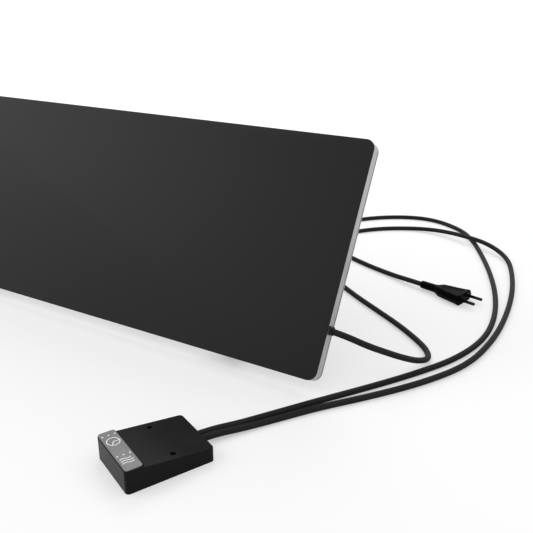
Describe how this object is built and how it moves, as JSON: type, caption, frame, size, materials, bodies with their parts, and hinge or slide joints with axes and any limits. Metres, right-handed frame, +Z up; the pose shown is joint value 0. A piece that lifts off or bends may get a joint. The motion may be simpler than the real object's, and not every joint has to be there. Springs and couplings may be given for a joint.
{
  "type": "under-desk infrared heater",
  "caption": "Low black infrared heating panel in an aluminium frame, leaning back on feet and folding legs, with a touch control unit on its cord.",
  "frame": {"origin": "on the floor, in the middle of the box round the heater and its control unit, without the free leads", "axes": "+X along the panel to its right as seen from the front, +Y to the back, +Z up"},
  "size_m": [0.8248, 0.7978, 0.235],
  "materials": {
    "face_coating": "satin",
    "edge_aluminium": "satin",
    "mat_film": "satin",
    "track_foil": "satin",
    "insulation": "matte",
    "back_coating": "satin",
    "screw_steel": "satin",
    "black_moulding": "matte",
    "inner_plastic": "matte",
    "inner_metal": "satin",
    "contact_brass": "satin",
    "wire_cover": "matte",
    "stand_coating": "satin",
    "rubber_pad": "matte",
    "control_moulding": "satin",
    "touch_grey": "satin",
    "board_laminate": "satin",
    "lamp_lens": "gloss",
    "fuse_glass": "gloss",
    "cord_cover": "satin",
    "plug_moulding": "satin",
    "pin_metal": "satin"
  },
  "bodies": {
    "heater": {"front_plate": "face_coating", "edge_frame": "edge_aluminium", "heating_mat": "mat_film", "heating_track": "track_foil", "insulation_board": "insulation", "back_sheet": "back_coating", "back_screws": "screw_steel", "cable_gland": "black_moulding", "panel_cord_clamp": "inner_plastic", "terminal_block": "inner_plastic", "thermal_cutout": "inner_metal", "track_lugs": "contact_brass", "inner_leads": "wire_cover", "left_foot": "stand_coating", "right_foot": "stand_coating", "left_foot_pad": "rubber_pad", "right_foot_pad": "rubber_pad", "left_hinge_bracket": "stand_coating", "right_hinge_bracket": "stand_coating", "left_hinge_pin": "screw_steel", "right_hinge_pin": "screw_steel", "stand_screws": "screw_steel", "control_cover": "control_moulding", "control_base": "control_moulding", "base_screws": "screw_steel", "touch_panel": "touch_grey", "touch_board": "board_laminate", "touch_electrodes": "track_foil", "indicator_leds": "lamp_lens", "board_link": "inner_plastic", "control_pcb": "board_laminate", "power_relay": "black_moulding", "supply_module": "black_moulding", "control_fuse": "fuse_glass", "lead_terminals": "inner_plastic", "control_wires": "wire_cover", "control_cord_clamp": "inner_plastic", "control_grommet": "black_moulding", "heater_lead": "cord_cover", "mains_lead": "cord_cover", "plug_body": "plug_moulding", "plug_pins": "pin_metal", "plug_sleeves": "plug_moulding"},
    "left_leg": {"left_leg": "stand_coating", "left_leg_shoe": "rubber_pad"},
    "right_leg": {"right_leg": "stand_coating", "right_leg_shoe": "rubber_pad"}
  },
  "joints": [
    {"name": "left_leg_fold", "type": "hinge", "parent": "heater", "child": "left_leg", "pos_m": [-0.196, 0.12294, 0.14979], "axis": [1, 0, 0], "range_deg": [-50, 0]},
    {"name": "right_leg_fold", "type": "hinge", "parent": "heater", "child": "right_leg", "pos_m": [0.196, 0.12294, 0.14979], "axis": [1, 0, 0], "range_deg": [-50, 0]}
  ]
}
